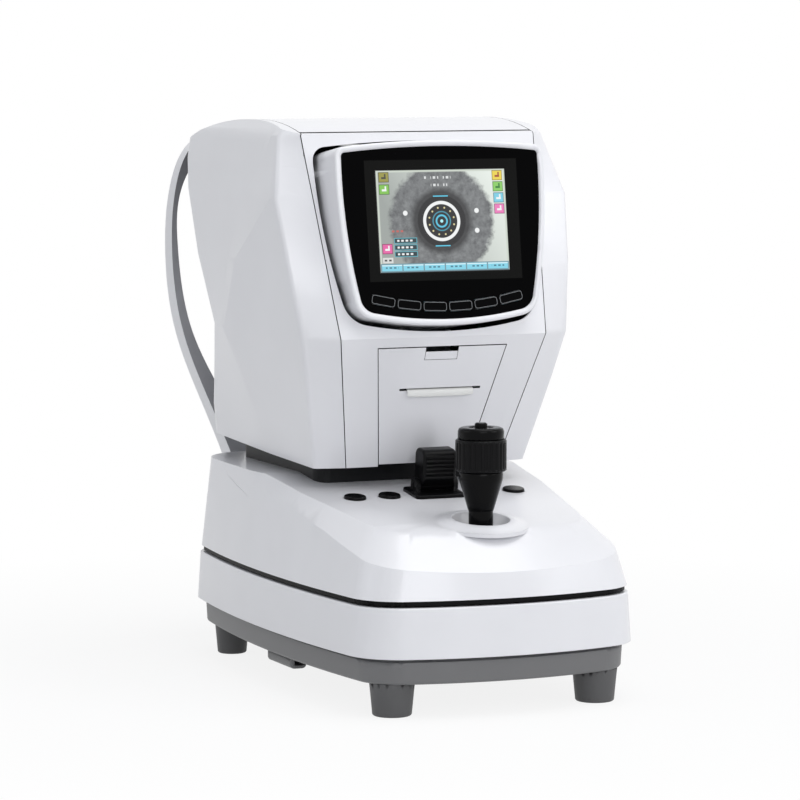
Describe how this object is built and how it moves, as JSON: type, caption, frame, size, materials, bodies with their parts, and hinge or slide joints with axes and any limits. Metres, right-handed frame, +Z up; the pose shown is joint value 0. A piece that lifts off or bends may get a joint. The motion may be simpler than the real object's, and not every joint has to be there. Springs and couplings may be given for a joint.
{
  "type": "autorefractor",
  "caption": "Table-top autorefractor: gliding stage on a low base, lifting head with tilting display and printer, joystick, chin rest and face arch",
  "frame": {"origin": "on the floor under the middle of the whole instrument's plan", "axes": "+Z up, +Y towards the patient, -Y towards the operator, +X to the operator's right"},
  "size_m": [0.262, 0.5058, 0.4575],
  "materials": {
    "white_plastic": "glossy moulded white",
    "grey_plastic": "fine-grained mid grey",
    "dark_plastic": "satin dark grey",
    "black_plastic": "glossy black",
    "black_matte": "satin black",
    "rubber": "moulded rubber",
    "steel": "ground shaft steel",
    "painted_steel": "black powder coat",
    "alloy": "machined alloy",
    "screen": "lit screen under glass",
    "optic": "coated window",
    "board": "circuit board",
    "paper": "thermal paper",
    "pad": "soft pad"
  },
  "bodies": {
    "base": {"base_tray": "grey_plastic", "base_cover": "white_plastic", "base_chassis": "painted_steel", "feet": "rubber", "depth_shafts": "steel", "shaft_blocks": "alloy", "power_supply": "painted_steel", "power_inlet": "black_matte", "interface_housing": "grey_plastic", "chin_column": "white_plastic", "face_arch": "white_plastic", "forehead_pad": "pad"},
    "power_switch": {"power_switch": "black_matte"},
    "chin_screw": {"chin_screw": "steel"},
    "chin_rest": {"chin_post": "steel", "chin_cup": "white_plastic"},
    "carriage": {"cross_carriage": "alloy", "cross_shafts": "steel"},
    "stage": {"stage_plate": "painted_steel", "stage_cover": "white_plastic", "lift_collar": "dark_plastic", "guide_rods": "steel", "joystick_seat": "black_matte", "lever_flange": "black_matte"},
    "lift_screw": {"lift_screw": "steel"},
    "lock_lever": {"lock_lever": "black_matte"},
    "chin_up_button": {"chin_up_button": "black_plastic"},
    "chin_down_button": {"chin_down_button": "black_plastic"},
    "print_button": {"print_button": "black_plastic"},
    "gimbal": {"gimbal_ring": "alloy"},
    "joystick": {"joystick_stick": "steel", "joystick_grip": "black_plastic"},
    "joystick_ring": {"joystick_ring": "black_matte"},
    "measuring_button": {"measuring_button": "black_plastic"},
    "head": {"head_chassis": "alloy", "head_floor": "grey_plastic", "left_side_cover": "white_plastic", "right_side_cover": "white_plastic", "front_cover": "white_plastic", "top_cover": "white_plastic", "rear_cover": "white_plastic", "objective_tube": "black_matte", "measuring_window": "optic", "optics_bench": "alloy", "main_board": "board", "printer_frame": "dark_plastic"},
    "focus_carriage": {"focus_carriage": "alloy"},
    "display": {"display_housing": "white_plastic", "display_panel": "black_plastic", "lcd_module": "screen"},
    "printer_door": {"printer_door": "white_plastic"},
    "door_latch": {"door_latch": "white_plastic"},
    "paper_roll": {"paper_roll": "paper"},
    "platen_roller": {"platen_roller": "rubber"},
    "soft_key_1": {"soft_key_1": "black_matte"},
    "soft_key_2": {"soft_key_2": "black_matte"},
    "soft_key_3": {"soft_key_3": "black_matte"},
    "soft_key_4": {"soft_key_4": "black_matte"},
    "soft_key_5": {"soft_key_5": "black_matte"},
    "soft_key_6": {"soft_key_6": "black_matte"}
  },
  "joints": [
    {"name": "stage_depth", "type": "slide", "parent": "base", "child": "carriage", "axis": [0, 1, 0], "range_m": [-0.02, 0.02]},
    {"name": "stage_cross", "type": "slide", "parent": "carriage", "child": "stage", "axis": [1, 0, 0], "range_m": [-0.04, 0.04]},
    {"name": "head_lift", "type": "slide", "parent": "stage", "child": "head", "axis": [0, 0, 1], "range_m": [-0.009, 0.021]},
    {"name": "lift_screw_turn", "type": "hinge", "parent": "stage", "child": "lift_screw", "pos_m": [0, 0.0479, 0.15], "axis": [0, 0, 1], "continuous": true},
    {"name": "lever_lock", "type": "hinge", "parent": "stage", "child": "lock_lever", "pos_m": [0, -0.09216, 0.16445], "axis": [1, 0, 0], "range_deg": [0, 35]},
    {"name": "chin_up_button_press", "type": "slide", "parent": "stage", "child": "chin_up_button", "axis": [0, 0.1323, -0.9912], "range_m": [0, 0.0018], "stiffness_N_per_m": 600, "springref_m": -0.001},
    {"name": "chin_down_button_press", "type": "slide", "parent": "stage", "child": "chin_down_button", "axis": [0, 0.1323, -0.9912], "range_m": [0, 0.0018], "stiffness_N_per_m": 600, "springref_m": -0.001},
    {"name": "print_button_press", "type": "slide", "parent": "stage", "child": "print_button", "axis": [0, 0.1323, -0.9912], "range_m": [0, 0.0018], "stiffness_N_per_m": 600, "springref_m": -0.001},
    {"name": "joystick_pitch", "type": "hinge", "parent": "stage", "child": "gimbal", "pos_m": [0, -0.1841, 0.115], "axis": [1, 0, 0], "range_deg": [-12, 12]},
    {"name": "joystick_roll", "type": "hinge", "parent": "gimbal", "child": "joystick", "pos_m": [0, -0.1841, 0.115], "axis": [0, 1, 0], "range_deg": [-12, 12]},
    {"name": "joystick_ring_turn", "type": "hinge", "parent": "joystick", "child": "joystick_ring", "pos_m": [0, -0.1841, 0.1975], "axis": [0, 0, 1], "continuous": true},
    {"name": "measuring_button_press", "type": "slide", "parent": "joystick", "child": "measuring_button", "axis": [0, 0, -1], "range_m": [0, 0.0015], "stiffness_N_per_m": 400, "springref_m": -0.001},
    {"name": "display_tilt", "type": "hinge", "parent": "head", "child": "display", "pos_m": [0, -0.0611, 0.415], "axis": [-1, 0, 0], "range_deg": [0, 20]},
    {"name": "soft_key_1_press", "type": "slide", "parent": "display", "child": "soft_key_1", "axis": [0, 0.99, -0.1409], "range_m": [0, 0.0006], "stiffness_N_per_m": 500, "springref_m": -0.0006},
    {"name": "soft_key_2_press", "type": "slide", "parent": "display", "child": "soft_key_2", "axis": [0, 0.99, -0.1409], "range_m": [0, 0.0006], "stiffness_N_per_m": 500, "springref_m": -0.0006},
    {"name": "soft_key_3_press", "type": "slide", "parent": "display", "child": "soft_key_3", "axis": [0, 0.99, -0.1409], "range_m": [0, 0.0006], "stiffness_N_per_m": 500, "springref_m": -0.0006},
    {"name": "soft_key_4_press", "type": "slide", "parent": "display", "child": "soft_key_4", "axis": [0, 0.99, -0.1409], "range_m": [0, 0.0006], "stiffness_N_per_m": 500, "springref_m": -0.0006},
    {"name": "soft_key_5_press", "type": "slide", "parent": "display", "child": "soft_key_5", "axis": [0, 0.99, -0.1409], "range_m": [0, 0.0006], "stiffness_N_per_m": 500, "springref_m": -0.0006},
    {"name": "soft_key_6_press", "type": "slide", "parent": "display", "child": "soft_key_6", "axis": [0, 0.99, -0.1409], "range_m": [0, 0.0006], "stiffness_N_per_m": 500, "springref_m": -0.0006},
    {"name": "printer_door_open", "type": "hinge", "parent": "head", "child": "printer_door", "pos_m": [0, -0.0626, 0.187], "axis": [1, 0, 0], "range_deg": [0, 24]},
    {"name": "door_latch_press", "type": "slide", "parent": "printer_door", "child": "door_latch", "axis": [0, 0.9217, 0.3879], "range_m": [0, 0.002], "stiffness_N_per_m": 400, "springref_m": -0.001},
    {"name": "paper_roll_turn", "type": "hinge", "parent": "head", "child": "paper_roll", "pos_m": [0, -0.0591, 0.248], "axis": [1, 0, 0], "continuous": true},
    {"name": "platen_roller_turn", "type": "hinge", "parent": "head", "child": "platen_roller", "pos_m": [0, -0.0833, 0.239], "axis": [1, 0, 0], "continuous": true},
    {"name": "focus_travel", "type": "slide", "parent": "head", "child": "focus_carriage", "axis": [0, 1, 0], "range_m": [-0.022, 0.022]},
    {"name": "chin_lift", "type": "slide", "parent": "base", "child": "chin_rest", "axis": [0, 0, 1], "range_m": [-0.028, 0.032]},
    {"name": "chin_screw_turn", "type": "hinge", "parent": "base", "child": "chin_screw", "pos_m": [0, 0.2149, 0.12], "axis": [0, 0, 1], "continuous": true},
    {"name": "power_switch_rock", "type": "hinge", "parent": "base", "child": "power_switch", "pos_m": [0.1225, 0.0389, 0.06755], "axis": [0, 0, -1], "range_deg": [0, 8]}
  ],
  "couplings": [
    {"joint": "lift_screw_turn", "follows": "head_lift", "rad_per_m": 1570.8},
    {"joint": "chin_screw_turn", "follows": "chin_lift", "rad_per_m": 1570.8}
  ]
}
